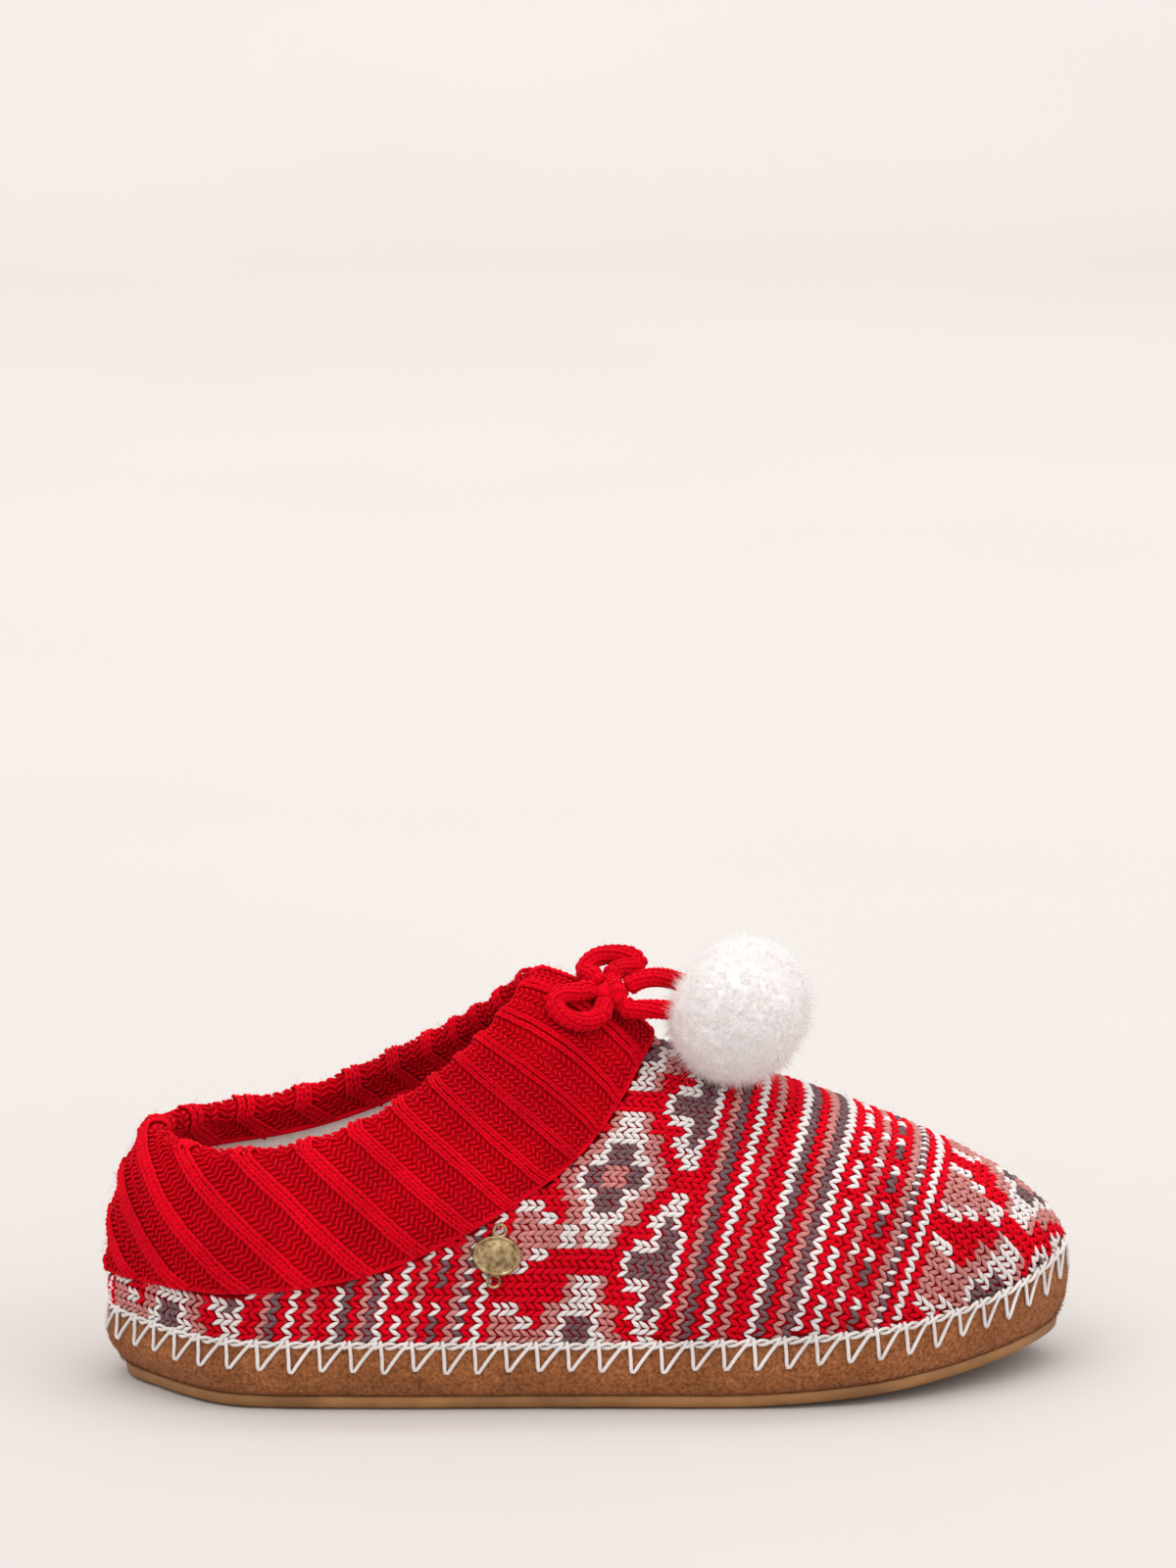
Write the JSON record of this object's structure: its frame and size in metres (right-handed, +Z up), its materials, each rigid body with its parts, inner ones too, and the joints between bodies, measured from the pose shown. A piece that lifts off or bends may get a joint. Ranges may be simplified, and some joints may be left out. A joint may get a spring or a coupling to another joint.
{
  "type": "knitted slipper",
  "caption": "Low house slipper with a jacquard knit shell, folded rib-knit cuff, suede foxing, rubber sole, knitted cord bow with pompoms and an oval brass plate.",
  "frame": {"origin": "on the floor, under the middle of the sole's outline", "axes": "+X to the toe, +Y to the inner side of the foot, +Z up"},
  "size_m": [0.26, 0.0966, 0.117],
  "materials": {
    "gum_rubber": "moulded gum rubber, fine tread",
    "tan_suede": "brushed suede, raw lower edge",
    "cream_fleece": "short fleece pile",
    "jacquard_knit": "stranded colour knit, brushed",
    "red_rib_knit": "wide rib knit",
    "white_yarn": "cut yarn",
    "antique_brass": "aged, satin"
  },
  "bodies": {
    "root": {"outsole": "gum_rubber", "foxing": "tan_suede", "insole": "cream_fleece", "upper": "jacquard_knit", "cuff": "red_rib_knit", "bow_knot": "red_rib_knit", "bow_loop_near": "red_rib_knit", "bow_loop_far": "red_rib_knit", "bow_end_near": "red_rib_knit", "bow_end_far": "red_rib_knit", "pompom_near": "white_yarn", "pompom_far": "white_yarn", "charm": "antique_brass"}
  },
  "joints": []
}
